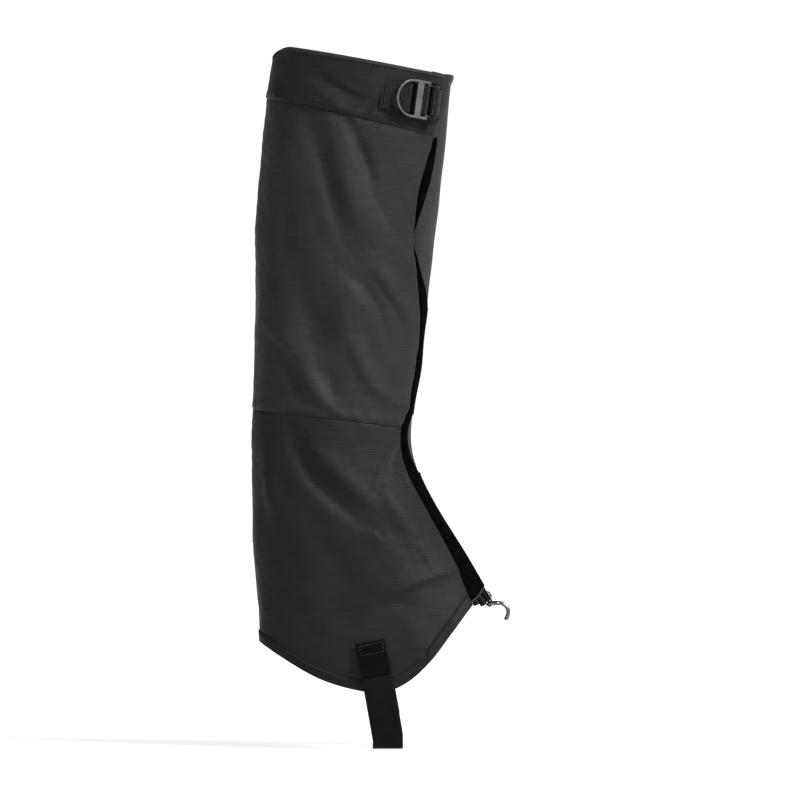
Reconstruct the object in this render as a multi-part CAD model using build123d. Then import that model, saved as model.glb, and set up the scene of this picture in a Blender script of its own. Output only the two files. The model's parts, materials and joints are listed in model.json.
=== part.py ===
from build123d import *
from math import cos, radians, sin, tan
import os

# A gaiter for the right leg, strapped round the shin and over a boot.
# +X points to the toes, +Y to the inner (medial) side of the leg, +Z up the leg.
# The origin is the middle of the instep strap's upper face, where the sole rests.
# Everything below is in millimetres and degrees.

# The leg shape: its height, and how deep it is at each level.
back_rim_height = 509.0
rim_slope = 10.1
collar_depth = 41.0
collar_seam_slope = 12.8
mid_seam_height = 245.0
mid_seam_slope = 6.6
ankle_height = 215.0
hem_low_height = 41.0
calf_width = 108.0
ankle_width = 95.0
foot_width = 102.0

# Cloth, tapes and webbing.
cloth = 1.0
lining = 0.8
tape = 0.6
layer_gap = 0.1
tunnel = 3.0
binding_depth = 4.0
binding_proud = 0.4
hem_depth = 9.0
seam_tape_width = 16.0
webbing_width = 22.0
webbing = 1.0
closure_strip = 0.9
lining_stop = 18.0
tape_stop = 4.0
hem_band_stop = 2.0
hook_strip_front_y = -19.0

# The front opening: the flap passes under the outer half's edge.
fold_x = -72.0
fold_clearance = 0.3
fold_axis_proud = 1.0
flap_overlap = 14.0
flap_inner_y = 24.0
inner_front_y = 14.0
inner_lining_front_y = 36.0
loop_strip_inner_y = 9.0
flap_drop = 2.5
flap_shift = 1.7
body_gap = 0.35

# The lever buckle on the collar.
buckle_x = 17.8
buckle_below_rim = 22.2
buckle_tilt = 8.0
lever_length = 34.6
lever_rim = 1.6
lever_width = webbing_width + 2 * lever_rim + 2.4
lever_thickness = 2.4
lever_bar_width = 5.2
lever_bar_place = 16.4
barrel_radius = 2.2
pin_radius = 1.2
pin_clearance = 0.05
plate = 1.2
plate_gap = 1.15
ear_thickness = 1.2
strap_clearance = 0.2
cam_clearance = 0.3
tail_past_cam = 3.4
tail_in_tunnel = 6.0

# The instep strap, its tabs and its adjuster.
sole_width = 72.0
strap_bend = 7.0
strap_thickness = 1.6
side_bulge = 0.7
strap_lean = 10.6
strap_bend_turn = 78.0
strap_knee_drop = 16.0
strap_grip_clearance = 0.3
tab_bottom_height = hem_low_height + 12.0
tab_length = 24.4
tab_thickness = 1.2
adjuster_side = 3.2
adjuster_width = webbing_width + 2 * adjuster_side + 1.6
adjuster_thickness = 4.0
adjuster_bar = 3.6
adjuster_middle_bar = 2.4
adjuster_foot = 4.5
adjuster_window = 5.4
tail_length = 30.0

# The lace hook at the foot of the front strip.
hook_line_height = 113.0
hook_wire_radius = 1.5
hook_tab = 1.2
hook_pivot_drop = 10.0
hook_tab_width = 12.0
hook_tab_length = 18.0
hook_tab_turnback = 8.0
hook_eye_depth = 7.0
hook_bend_radius = 6.8
hook_bend_sweep = 130.0
rivet_radius = 1.6
rivet_head_radius = 3.6
rivet_head_height = 1.8
rivet_place = 5.2

FAR = 400.0
TUBE_TOP = back_rim_height + 30.0
TUBE_FOOT = hem_low_height - 16.0
WALL_FOOT = 75.0
INSTEP = 142.0
SHIN = 340.0
rim_back_x = -76.7


def rim_height(x):
    """The rim's height over the point x."""
    return back_rim_height - tan(radians(rim_slope)) * (x - rim_back_x)


collar_mid = back_rim_height - collar_depth
calf_height = collar_mid - 41.0

# height, back x, front x, half width of the leg at each level
SECTIONS = [
    (TUBE_FOOT, -91.0, 123.0, foot_width / 2 - 1),
    (WALL_FOOT, -93.8, 94.0, foot_width / 2),
    (110.0, -95.8, 73.5, foot_width / 2 - 0.5),
    (INSTEP, -97.8, 54.8, foot_width / 2 - 1.5),
    (175.0, -99.4, 34.5, (foot_width + ankle_width) / 4),
    (ankle_height, -99.8, 17.8, ankle_width / 2),
    (mid_seam_height + 15.0, -98.0, 21.0, ankle_width / 2 + 0.5),
    (SHIN, -97.1, 30.7, calf_width / 2 - 3),
    (calf_height, -93.4, 40.9, calf_width / 2),
    (collar_mid, -88.4, 44.7, calf_width / 2),
    (TUBE_TOP, -78.0, 53.5, calf_width / 2 + 0.5),
]

# The outer half's front edge: how far behind the front outline it lies, by height
EDGE_INSETS = [
    (TUBE_TOP, 10.0),
    (collar_mid - 10.0, 10.0),
    (collar_mid - 19.0, 8.5),
    (calf_height - 17.0, 15.0),
    (calf_height - 61.0, 14.5),
    (SHIN - 16.0, 6.5),
    (mid_seam_height - 3.0, 5.4),
    (ankle_height - 4.0, 8.4),
    (175.0, 7.7),
    (INSTEP, 10.0),
    (WALL_FOOT + 27.0, 16.0),
    (TUBE_FOOT, 16.0),
]

# The hem's lower edge, seen from the side: x, height above its lowest level
HEM = [
    (-120.0, 52.0),
    (-93.4, 34.5),
    (-57.7, 12.3),
    (-24.0, 0.8),
    (0.0, 0.0),
    (22.6, 13.0),
    (62.8, 63.0),
    (110.0, 113.0),
]


def front_at(height):
    """The front outline's x at a height, straight between sections."""
    for low, high in zip(SECTIONS, SECTIONS[1:]):
        if height <= high[0]:
            share = (height - low[0]) / (high[0] - low[0])
            return low[2] + share * (high[2] - low[2])
    return SECTIONS[-1][2]


def leg(offset, shift=0.0):
    """The leg's solid shape, grown by offset and moved towards the inner side."""
    rings = []
    for height, back, front, half_width in SECTIONS:
        ring = Ellipse((front - back) / 2 + offset, half_width + offset)
        rings.append(Pos((front + back) / 2, shift, height) * ring)
    return loft(rings)


def layer(outer, thickness, shift=0.0):
    """A sleeve round the leg whose outer face is grown by outer."""
    return leg(outer, shift) - leg(outer - thickness, shift)


def below(shape, x, height, slope):
    """What lies under a plane that slopes down to the front."""
    cut = Plane((x, 0, height), x_dir=(0, 1, 0), z_dir=(sin(radians(slope)), 0, cos(radians(slope))))
    return split(shape, bisect_by=cut, keep=Keep.BOTTOM)


def above(shape, x, height, slope):
    """What lies over a plane that slopes down to the front."""
    cut = Plane((x, 0, height), x_dir=(0, 1, 0), z_dir=(sin(radians(slope)), 0, cos(radians(slope))))
    return split(shape, bisect_by=cut, keep=Keep.TOP)


def side_prism(outline, low_y, high_y):
    """An outline in X and Z, given as a face on Plane.XZ, run from low_y to high_y."""
    return Pos(0, high_y, 0) * extrude(outline, amount=high_y - low_y)


def block(low, high):
    """A box between two corners."""
    size = [b - a for a, b in zip(low, high)]
    return Pos(*low) * Box(*size, align=(Align.MIN, Align.MIN, Align.MIN))


def behind_edge(move):
    """Everything behind the outer half's front edge moved forward, on its own side."""
    points = [(front_at(z) - inset + move, z) for z, inset in EDGE_INSETS]
    edge = Spline(*points)
    back = Polyline(points[-1], (-FAR, TUBE_FOOT), (-FAR, TUBE_TOP), points[0])
    outline = Plane.XZ * make_face([edge, back])
    return side_prism(outline, -FAR, 0)


def over_hem(rise):
    """Everything over the hem line moved up."""
    points = [(x, hem_low_height + z + rise) for x, z in HEM]
    edge = Spline(*points)
    top = Polyline(points[-1], (points[-1][0], TUBE_TOP + 1), (points[0][0], TUBE_TOP + 1), points[0])
    outline = Plane.XZ * make_face([edge, top])
    return side_prism(outline, -FAR, FAR)


def outer_half(shape, front_move=0.0):
    """The part of a sleeve that belongs to the outer half."""
    region = behind_edge(front_move) + block((-FAR, 0, 0), (fold_x, FAR, TUBE_TOP))
    return shape & region


def inner_half(shape, front_y=inner_front_y):
    """The part of a sleeve that belongs to the inner half, up to front_y."""
    return shape & block((fold_x + fold_clearance, front_y, 0), (FAR, FAR, TUBE_TOP))


def flap_half(shape, under, inner_y):
    """The part of a sleeve that covers the front opening."""
    covered = shape & block((0, -FAR, 0), (FAR, inner_y, TUBE_TOP))
    return covered - behind_edge(-under)


def band(points, thickness, width, plane):
    """A strip of even thickness along points in plane, width across it."""
    left, right = [], []
    for i, point in enumerate(points):
        before = points[max(i - 1, 0)]
        after = points[min(i + 1, len(points) - 1)]
        ahead = Vector(*after) - Vector(*point) if after != point else Vector(*point) - Vector(*before)
        behind = Vector(*point) - Vector(*before) if before != point else ahead
        ahead, behind = ahead.normalized(), behind.normalized()
        across = Vector(-ahead.Y - behind.Y, ahead.X + behind.X).normalized()
        reach = thickness / 2 / max(across.dot(Vector(-ahead.Y, ahead.X)), 0.3)
        left.append((point[0] + across.X * reach, point[1] + across.Y * reach))
        right.append((point[0] - across.X * reach, point[1] - across.Y * reach))
    outline = plane * make_face(Polyline(*left, *reversed(right), close=True))
    return extrude(outline, amount=width / 2, both=True)


def save(shape, name):
    """Writes one sub-part."""
    export_step(shape, f"parts/{name}.step")


# Shared shapes

skin = leg(0)
collar_level = (rim_back_x, collar_mid + 1.0, collar_seam_slope)
mid_level = (-97.0, mid_seam_height, mid_seam_slope)
rim_level = (rim_back_x, back_rim_height, rim_slope)
rim_under_binding = (rim_back_x, back_rim_height - binding_depth, rim_slope)
hem_top = over_hem(hem_depth)
hem_bottom = over_hem(0)


def skin_point(x, height, side, surface=None):
    """The point of a surface over (x, height) on one side of the leg, and its normal."""
    ray = Axis((x, 0, height), (0, side, 0))
    hits = (surface or skin).find_intersection_points(ray)
    return next(hit for hit in hits if hit[0].Y * side > 0)


def collar_piece(sleeve):
    """The part of a sleeve between the collar seam and the binding."""
    return above(below(sleeve, *rim_under_binding), *collar_level)


def upper_piece(sleeve):
    """The part of a sleeve between the mid seam and the collar seam."""
    return above(below(sleeve, *collar_level), *mid_level)


def lower_piece(sleeve):
    """The part of a sleeve between the hem band and the mid seam."""
    return below(sleeve, *mid_level) & hem_top


def seam_tape(level, sleeve):
    """A tape centred on a seam."""
    x, height, slope = level
    half = seam_tape_width / 2
    return above(below(sleeve, x, height + half, slope), x, height - half, slope)


# The lever buckle's own frame: x along the strap to the front, y across it, z outwards

buckle_height = rim_height(buckle_x) - buckle_below_rim
buckle_seat, buckle_out = skin_point(buckle_x, buckle_height, -1)
buckle_out = buckle_out if buckle_out.Y < 0 else -buckle_out
level_dir = Vector(-buckle_out.Y, buckle_out.X, 0).normalized()
down_dir = buckle_out.cross(level_dir)
down_dir = down_dir if down_dir.Z < 0 else -down_dir
strap_dir = level_dir * cos(radians(buckle_tilt)) + down_dir * sin(radians(buckle_tilt))
buckle = Plane(buckle_seat, x_dir=strap_dir, z_dir=buckle_out)
# A plane to draw profiles in: its x is the buckle's x, its y is outwards
profile = Plane(buckle_seat, x_dir=strap_dir, z_dir=strap_dir.cross(buckle_out))

plate_top = plate_gap + plate
strap_mid = plate_top + strap_clearance + webbing / 2
strap_top = strap_mid + webbing / 2
pin_x = lever_length / 2 - barrel_radius
pin_z = strap_top + cam_clearance + barrel_radius
lever_low = pin_z - lever_thickness / 2
lever_inner = lever_width / 2 - lever_rim
bar_x = lever_bar_place - lever_length / 2 + lever_bar_width / 2
ear_outer = lever_width / 2
ear_inner = ear_outer - ear_thickness
arm_outer = ear_inner - cam_clearance
arm_inner = arm_outer - 2.0
ear_back = pin_x - barrel_radius - 1.8
ear_front = pin_x + barrel_radius + 1.0
plate_back = bar_x - 9.7
anchor_bar = 3.4
anchor_window = 3.4
slot_x = -27.0
sewn_start = 31.4
sewn_length = 10.0
slot_length = 9.0


def local_height(x, surface):
    """How far outwards a surface lies at the buckle's x, in the buckle's frame."""
    start = buckle.from_local_coords(Vector(x, 0, 40))
    hit = surface.find_intersection_points(Axis(start, -buckle.z_dir))[0]
    return 40 - (hit[0] - start).length


def buckle_cylinder(radius, x, z, length):
    """A round bar across the strap."""
    return extrude(profile * Pos(x, z) * Circle(radius), amount=length / 2, both=True)


def buckle_block(low, high):
    """A box in the buckle's frame."""
    return buckle * block(low, high)


def make_buckle_base():
    """The stamped plate under the strap, with two ears that hold the lever's pin."""
    body = block((plate_back, -ear_outer, plate_gap), (ear_front, ear_outer, plate_top))
    window = block(
        (plate_back + anchor_bar, -webbing_width / 2 - 1, 0),
        (plate_back + anchor_bar + anchor_window, webbing_width / 2 + 1, plate_top + 1),
    )
    body -= window
    body = fillet(body.edges().filter_by(Axis.Z).group_by(Axis.X)[0], 2.5)
    for side in (-1, 1):
        low, high = sorted((side * ear_inner, side * ear_outer))
        ear = block((ear_back, low, plate_gap), (ear_front, high, pin_z + pin_radius + 1.2))
        body += ear
    base = buckle * body
    return base - buckle_cylinder(pin_radius, pin_x, pin_z, 2 * ear_outer + 2)


def make_lever():
    """The D-shaped lever: a round pull, a clamping bar and a barrel on the pin."""
    round_x = -lever_length / 2 + lever_width / 2
    outer = Pos(round_x, 0) * Circle(lever_width / 2)
    outer += Pos((round_x + ear_back - 0.6) / 2, 0) * Rectangle(ear_back - 0.6 - round_x, lever_width)
    outer += Pos((ear_back - 2 + pin_x) / 2, 0) * Rectangle(pin_x - ear_back + 2, 2 * arm_outer)
    hole = Pos(round_x, 0) * Circle(lever_inner)
    hole += Pos((round_x + ear_back - 3) / 2, 0) * Rectangle(ear_back - 3 - round_x, 2 * lever_inner)
    hole += Pos((ear_back - 4 + pin_x) / 2, 0) * Rectangle(pin_x - ear_back + 4, 2 * arm_inner)
    bar = Pos(bar_x, 0) * Rectangle(lever_bar_width, 2 * lever_inner + 1)
    ring = extrude(outer - hole + bar, amount=lever_thickness)
    ring = Pos(0, 0, lever_low) * ring
    clamp = block(
        (bar_x - lever_bar_width / 2, 1 - webbing_width / 2, strap_top + cam_clearance),
        (bar_x + lever_bar_width / 2, webbing_width / 2 - 1, lever_low + 0.2),
    )
    lever = buckle * (ring + clamp)
    lever += buckle_cylinder(barrel_radius, pin_x, pin_z, 2 * arm_outer)
    return lever - buckle_cylinder(pin_radius + pin_clearance, pin_x, pin_z, lever_width)


def make_anchor_webbing():
    """Webbing out of the collar's slot, looped round the plate's rear bar."""
    under = cloth + tunnel / 2
    over = webbing / 2 + 0.9
    loop_x = plate_back + anchor_bar / 2
    bar_mid = plate_gap + plate / 2
    reach = plate / 2 + layer_gap + webbing / 2
    entry, leave = slot_x - slot_length / 2, slot_x + slot_length / 2
    tail = band(
        [
            (entry - tail_in_tunnel, local_height(entry - tail_in_tunnel, skin) - under),
            (entry, local_height(entry, skin) - under),
            (leave, local_height(leave, skin) + over),
            (plate_back - 0.6, bar_mid),
        ],
        webbing, webbing_width, profile,
    )
    loop_end = anchor_bar / 2 + layer_gap + webbing / 2
    ring = Pos(loop_x, bar_mid) * RectangleRounded(
        2 * loop_end + webbing, 2 * reach + webbing, reach + webbing / 2 - 0.05)
    hole = Pos(loop_x, bar_mid) * Rectangle(2 * loop_end - webbing, 2 * reach - webbing)
    loop = extrude(profile * (ring - hole), amount=webbing_width / 2, both=True)
    return loop + tail


def make_cinch_strap():
    """Webbing sewn on the flap, run over the plate and under the lever's bar."""
    landing = sewn_start + 1.5
    fold = 2 * webbing
    run = band(
        [
            (bar_x - tail_past_cam, strap_mid),
            (ear_front + 1.5, strap_mid),
            (landing, local_height(landing, flap_skin) + fold),
        ],
        webbing, webbing_width, profile,
    )
    half = webbing_width / 2
    patch = layer(fold + layer_gap - flap_drop, fold, flap_shift)
    patch &= buckle_block((sewn_start, -half, -30), (sewn_start + sewn_length, half, 20))
    return run + patch


# The instep strap's frame on one side: x along its width, y up it, z outwards


def strap_plane(side):
    """The plane of the strap's upright run; side is -1 outside and 1 inside the leg."""
    x = -tan(radians(strap_lean)) * tab_bottom_height * 0.85
    at, _ = skin_point(x, tab_bottom_height, side)
    up = Vector(-sin(radians(strap_lean)), 0, cos(radians(strap_lean)))
    out = Vector(0, side, 0)
    return Plane(at, x_dir=up.cross(out), z_dir=out)


tab_lift = binding_proud + 0.2
strap_lift = binding_proud + 0.2 + side_bulge + strap_thickness / 2
adjuster_lift = binding_proud + body_gap + side_bulge + strap_thickness + 0.3 + adjuster_thickness / 2
adjuster_rise = 9.0
grip_reach = adjuster_thickness / 2 + strap_grip_clearance + strap_thickness / 2
grip_run_end = adjuster_rise - 14.0


def tab_piece(side, rise):
    """The webbing tab sewn on the lower panel over the strap."""
    half = webbing_width / 2
    region = strap_plane(side) * block((-half, rise, -20), (half, rise + tab_length, 20))
    return layer(tab_lift + tab_thickness, tab_thickness) & region


def make_inner_tab():
    """The inner tab, looped round the adjuster's top bar."""
    plane = strap_plane(1)
    half = webbing_width / 2
    ring = adjuster_bar / 2 + pin_clearance
    loop_plane = Plane(plane.origin, x_dir=plane.y_dir, z_dir=plane.x_dir)
    centre = Pos(adjuster_rise, adjuster_lift)
    loop = extrude(loop_plane * centre * Circle(ring + tab_thickness), amount=half, both=True)
    hole = extrude(loop_plane * centre * Circle(ring), amount=half + 1, both=True)
    lean = skin_point(plane.origin.X, plane.origin.Z + adjuster_rise + 4, 1)[0].Y - plane.origin.Y
    neck = plane * block(
        (-half, adjuster_rise, lean + tab_lift + tab_thickness / 2),
        (half, adjuster_rise + 7, adjuster_lift - ring - 0.1),
    )
    return tab_piece(1, adjuster_rise + 1) + (loop + neck - hole)


def make_adjuster():
    """The ladder buckle that grips the strap's free end."""
    plane = strap_plane(1)
    half = adjuster_width / 2
    inner = half - adjuster_side
    loop_window = -adjuster_bar / 2 - 3 * tab_thickness
    grip_top = loop_window - adjuster_middle_bar
    grip_low = grip_top - adjuster_window
    body = block(
        (-half, grip_low - adjuster_foot, -adjuster_thickness / 2),
        (half, 0, adjuster_thickness / 2),
    )
    body -= block((-inner, loop_window, -adjuster_thickness), (inner, 1, adjuster_thickness))
    body -= block((-inner, grip_low, -adjuster_thickness), (inner, grip_top, adjuster_thickness))
    body = fillet(body.edges().filter_by(Axis.Z).group_by(Axis.Y)[0], 2.0)
    body += Rot(0, 90, 0) * Cylinder(adjuster_bar / 2, adjuster_width)
    return plane * Pos(0, adjuster_rise, adjuster_lift) * body, grip_low


def make_instep_strap(grip_y):
    """The strap under the sole, sewn on outside and threaded through the adjuster inside."""
    half = webbing_width / 2
    flat = sole_width / 2
    reach = 40.0
    turn = radians(strap_bend_turn)
    strap = block((-half, -flat, -strap_thickness), (half, flat, 0))
    for side in (-1, 1):
        centre = Pos(side * flat, strap_bend)
        ring = centre * Circle(strap_bend + strap_thickness) - centre * Circle(strap_bend)
        wedge = make_face(Polyline(
            (side * flat, strap_bend),
            (side * flat, strap_bend - reach),
            (side * (flat + reach), strap_bend - reach),
            (side * (flat + reach * sin(turn)), strap_bend - reach * cos(turn)),
            close=True,
        ))
        strap += extrude(Plane.YZ * (ring & wedge), amount=half, both=True)
        strap += make_strap_leg(side)
    return strap + make_strap_grip(grip_y)


def strap_face(origin, width_dir, up):
    """A cross-section of the strap."""
    return Plane(origin, x_dir=width_dir, z_dir=up) * Rectangle(webbing_width, strap_thickness)


def make_strap_leg(side):
    """One upright run of the strap, from the bend to its upper end."""
    plane = strap_plane(side)
    turn = radians(strap_bend_turn)
    middle = strap_bend + strap_thickness / 2
    foot = Vector(0, side * (sole_width / 2 + middle * sin(turn)), strap_bend - middle * cos(turn))
    foot_up = Vector(0, side * cos(turn), sin(turn))
    lift = strap_lift if side < 0 else adjuster_lift - grip_reach
    top = plane.from_local_coords(Vector(0, 0 if side < 0 else grip_run_end, lift))
    knee = plane.from_local_coords(Vector(0, -strap_knee_drop, lift))
    faces = [strap_face(foot, Vector(1, 0, 0), foot_up)]
    faces.append(strap_face(knee, plane.x_dir * -side, plane.y_dir))
    faces.append(strap_face(top, plane.x_dir * -side, plane.y_dir))
    return loft(faces, ruled=True)


def make_strap_grip(grip_y):
    """The strap's turn round the adjuster's gripping bar, and its free tail."""
    plane = strap_plane(1)
    loop_plane = Plane(plane.origin, x_dir=plane.y_dir, z_dir=plane.x_dir)
    half = strap_thickness / 2
    turn_y = adjuster_rise + grip_y
    centre = Pos(turn_y, adjuster_lift)
    ring = centre * Circle(grip_reach + half) - centre * Circle(grip_reach - half)
    ring &= Pos(turn_y + 10, adjuster_lift) * Rectangle(20, 40)
    inner = Pos((turn_y + grip_run_end) / 2, adjuster_lift - grip_reach)
    inner_run = inner * Rectangle(abs(turn_y - grip_run_end) + 0.02, strap_thickness)
    outer = Pos(turn_y - tail_length / 2, adjuster_lift + grip_reach)
    outer_run = outer * Rectangle(tail_length, strap_thickness)
    return extrude(loop_plane * (ring + inner_run + outer_run), amount=webbing_width / 2, both=True)


# The lace hook hangs from a webbing tab at the foot of the front strip


def front_point(height, surface):
    """The front of a surface at a height, in the middle of the flap."""
    hits = surface.find_intersection_points(Axis((0, flap_shift, height), (1, 0, 0)))
    return max(hits, key=lambda hit: hit[0].X)[0]


def hook_line():
    """The foot of the front strip: a point on its surface and its direction down."""
    high = front_point(hook_line_height + 12.0, strip_skin)
    low = front_point(hook_line_height, strip_skin)
    return low, (low - high).normalized()



def make_hook_parts():
    """The hook's webbing tab, its rivet and the bent wire hook."""
    low, down = hook_line()
    out = Vector(-down.Z, 0, down.X)
    pivot = low + down * hook_pivot_drop - out * (hook_wire_radius + pin_clearance - layer_gap)
    side = Plane(pivot, x_dir=down, z_dir=down.cross(out))
    reach = hook_wire_radius + pin_clearance
    shape = Circle(reach + hook_tab)
    shape += Pos(-hook_tab_length / 2, reach + hook_tab / 2) * Rectangle(hook_tab_length, hook_tab)
    shape += Pos(-hook_tab_turnback / 2, -reach - hook_tab / 2) * Rectangle(hook_tab_turnback, hook_tab)
    shape -= Circle(reach)
    tab = extrude(side * shape, amount=hook_tab_width / 2, both=True)
    nail = Plane(pivot - down * rivet_place, z_dir=out)
    shank = nail * Cylinder(rivet_radius, 2 * (reach + hook_tab))
    tab -= shank
    dome_radius = (rivet_head_radius**2 + rivet_head_height**2) / (2 * rivet_head_height)
    dome = Pos(0, 0, rivet_head_height - dome_radius) * Sphere(dome_radius)
    dome = split(dome, bisect_by=Plane.XY, keep=Keep.TOP)
    rivet = shank + nail * Pos(0, 0, reach + hook_tab) * dome
    rivet += nail * Rot(180, 0, 0) * Pos(0, 0, reach + hook_tab) * dome
    return tab, rivet, make_hook(pivot), pivot


def make_hook(pivot):
    """A closed wire eye with a hook bent down from its front bar."""
    arm = hook_tab_width / 2 + 0.5 + hook_wire_radius
    corner = hook_wire_radius + 0.4
    eye_path = Plane(pivot) * FilletPolyline(
        (0, -arm), (hook_eye_depth, -arm), (hook_eye_depth, arm), (0, arm), radius=corner, close=True,
    )
    eye = sweep(eye_path.location_at(0) * Circle(hook_wire_radius), path=eye_path)
    bend_plane = Plane(pivot + Vector(hook_eye_depth, 0, -hook_bend_radius), x_dir=(1, 0, 0), z_dir=(0, -1, 0))
    bend_path = bend_plane * CenterArc((0, 0), hook_bend_radius, 90, -hook_bend_sweep)
    bend = sweep(bend_path.location_at(0) * Circle(hook_wire_radius), path=bend_path)
    tip = bend_path.position_at(1)
    return eye + bend + Pos(tip) * Sphere(hook_wire_radius)


os.makedirs("parts", exist_ok=True)

flap_skin = leg(-flap_drop, flap_shift)
strip_skin = leg(closure_strip + layer_gap - flap_drop, flap_shift)


def make_sleeves():
    """The sewn cloth of both halves, piece by piece."""
    outer_cloth = layer(0, cloth)
    collar_lining = layer(-cloth - tunnel, lining)
    tapes = layer(-cloth - layer_gap, tape)
    binding = layer(binding_proud, cloth + tunnel + lining + binding_proud)
    hem = layer(binding_proud, cloth + binding_proud + layer_gap)
    slot = buckle_block(
        (slot_x - slot_length / 2, -webbing_width / 2 - 1.5, -14),
        (slot_x + slot_length / 2, webbing_width / 2 + 1.5, 4),
    )
    # The lining and tapes stop short of the overlap at the front opening
    lining_front = -(flap_overlap + lining_stop)
    tape_front = -(flap_overlap + tape_stop)
    rim_cut = above(below(binding, *rim_level), *rim_under_binding)
    hem_cut = (hem & hem_bottom) - hem_top
    save(outer_half(collar_piece(outer_cloth)) - slot, "outer_collar")
    save(outer_half(upper_piece(outer_cloth)), "outer_upper_panel")
    save(outer_half(lower_piece(outer_cloth)), "outer_lower_panel")
    save(outer_half(collar_piece(collar_lining), lining_front), "outer_collar_lining")
    save(outer_half(rim_cut, lining_front), "outer_rim_binding")
    save(outer_half(hem_cut, -flap_overlap - hem_band_stop), "outer_hem_binding")
    save(outer_half(seam_tape(mid_level, tapes), tape_front), "outer_mid_seam_tape")
    save(inner_half(collar_piece(outer_cloth)), "inner_collar")
    save(inner_half(upper_piece(outer_cloth)), "inner_upper_panel")
    save(inner_half(lower_piece(outer_cloth)), "inner_lower_panel")
    save(inner_half(collar_piece(collar_lining), inner_lining_front_y), "inner_collar_lining")
    save(inner_half(rim_cut, inner_lining_front_y), "inner_rim_binding")
    save(inner_half(hem_cut), "inner_hem_binding")
    save(inner_half(seam_tape(mid_level, tapes), inner_lining_front_y), "inner_mid_seam_tape")


def make_front():
    """The flap behind the opening and the two closure strips."""
    rim = (rim_back_x, back_rim_height - 1.0, rim_slope)
    flap = below(layer(-flap_drop, cloth, flap_shift), *rim) & hem_bottom
    save(flap_half(flap, flap_overlap, flap_inner_y), "front_flap")
    loop = below(layer(closure_strip + layer_gap - flap_drop, closure_strip, flap_shift), *collar_level)
    loop = flap_half(loop & over_hem(3.0), flap_overlap - 3.0, loop_strip_inner_y)
    save(loop, "loop_strip")
    hook = below(layer(-cloth - layer_gap, closure_strip), *collar_level) & over_hem(hem_depth + 2)
    hook = (hook & behind_edge(-0.8)) - behind_edge(-flap_overlap + 1.0)
    # Where the opening comes near the leg's front line, the strip stops short of the swinging flap
    hook &= block((-FAR, -FAR, 0), (FAR, hook_strip_front_y, TUBE_TOP))
    save(hook, "hook_strip")


make_sleeves()
make_front()
save(tab_piece(-1, 0), "outer_instep_tab")
save(make_inner_tab(), "inner_instep_tab")
adjuster, grip_y = make_adjuster()
save(adjuster, "instep_adjuster")
save(make_instep_strap(grip_y), "instep_strap")
save(make_buckle_base(), "buckle_base")
save(make_lever(), "buckle_lever")
save(buckle_cylinder(pin_radius, pin_x, pin_z, 2 * ear_outer + 1.0), "lever_pin")
save(make_anchor_webbing(), "buckle_anchor_webbing")
save(make_cinch_strap(), "cinch_strap")
hook_tab, hook_rivet, lace_hook, hook_pivot = make_hook_parts()
save(hook_tab, "lace_hook_tab")
save(hook_rivet, "lace_hook_rivet")
save(lace_hook, "lace_hook")

lever_pivot = buckle.from_local_coords(Vector(pin_x, 0, pin_z))
adjuster_pivot = strap_plane(1).from_local_coords(Vector(0, adjuster_rise, adjuster_lift))
fold_y = max(skin_point(fold_x, height, 1)[0].Y for height, *_ in SECTIONS[1:-1]) + fold_axis_proud
print("fold axis", fold_x, fold_y)
print("lever pivot", lever_pivot, "axis", buckle.y_dir)
print("adjuster pivot", adjuster_pivot, "axis", strap_plane(1).x_dir)
print("hook pivot", hook_pivot)
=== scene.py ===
"""A hiking gaiter: its cloth, webbing, stitches, metal and studio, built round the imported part."""

import json
import math

import bmesh
import bpy
import numpy as np
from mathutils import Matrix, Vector


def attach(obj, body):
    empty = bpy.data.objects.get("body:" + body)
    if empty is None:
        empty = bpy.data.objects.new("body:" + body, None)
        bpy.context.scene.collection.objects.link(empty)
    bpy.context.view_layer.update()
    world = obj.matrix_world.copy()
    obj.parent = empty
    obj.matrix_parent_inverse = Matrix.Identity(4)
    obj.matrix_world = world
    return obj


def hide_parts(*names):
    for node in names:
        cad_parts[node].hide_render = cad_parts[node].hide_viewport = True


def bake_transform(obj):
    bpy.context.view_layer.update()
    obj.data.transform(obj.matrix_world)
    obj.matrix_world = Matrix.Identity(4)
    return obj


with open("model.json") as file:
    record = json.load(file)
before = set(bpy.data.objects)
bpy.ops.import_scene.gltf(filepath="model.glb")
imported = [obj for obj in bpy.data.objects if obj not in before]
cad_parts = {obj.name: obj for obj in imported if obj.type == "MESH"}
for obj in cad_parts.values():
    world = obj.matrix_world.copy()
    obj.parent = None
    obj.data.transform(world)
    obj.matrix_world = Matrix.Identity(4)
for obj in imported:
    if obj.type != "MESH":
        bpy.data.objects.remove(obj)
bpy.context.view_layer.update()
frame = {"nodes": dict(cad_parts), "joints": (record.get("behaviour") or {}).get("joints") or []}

# Lengths are in metres. +X points to the toes, -Y to the outer side of the leg, +Z up.
MM = 0.001

# The leg's shape: height, back x, front x and half width of its ellipse at each level
SECTIONS = MM * np.array([
    (25, -91, 123, 50),
    (75, -93.8, 94, 51),
    (110, -95.8, 73.5, 50.5),
    (142, -97.8, 54.8, 49.5),
    (175, -99.4, 34.5, 49.25),
    (215, -99.8, 17.8, 47.5),
    (260, -98, 21, 48),
    (340, -97.1, 30.7, 51),
    (427, -93.4, 40.9, 54),
    (468, -88.4, 44.7, 54),
    (539, -78, 53.5, 54.5),
])
# The outer half's front edge: height, and how far behind the leg's front line it lies
EDGE_INSETS = MM * np.array([
    (25, 16), (102, 16), (142, 10), (175, 7.7), (211, 8.4), (242, 5.4), (324, 6.5), (366, 14.5),
    (410, 15), (449, 8.5), (456, 7.4), (464, 4.8), (481, 4), (489, 4.8), (539, 5),
])
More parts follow.
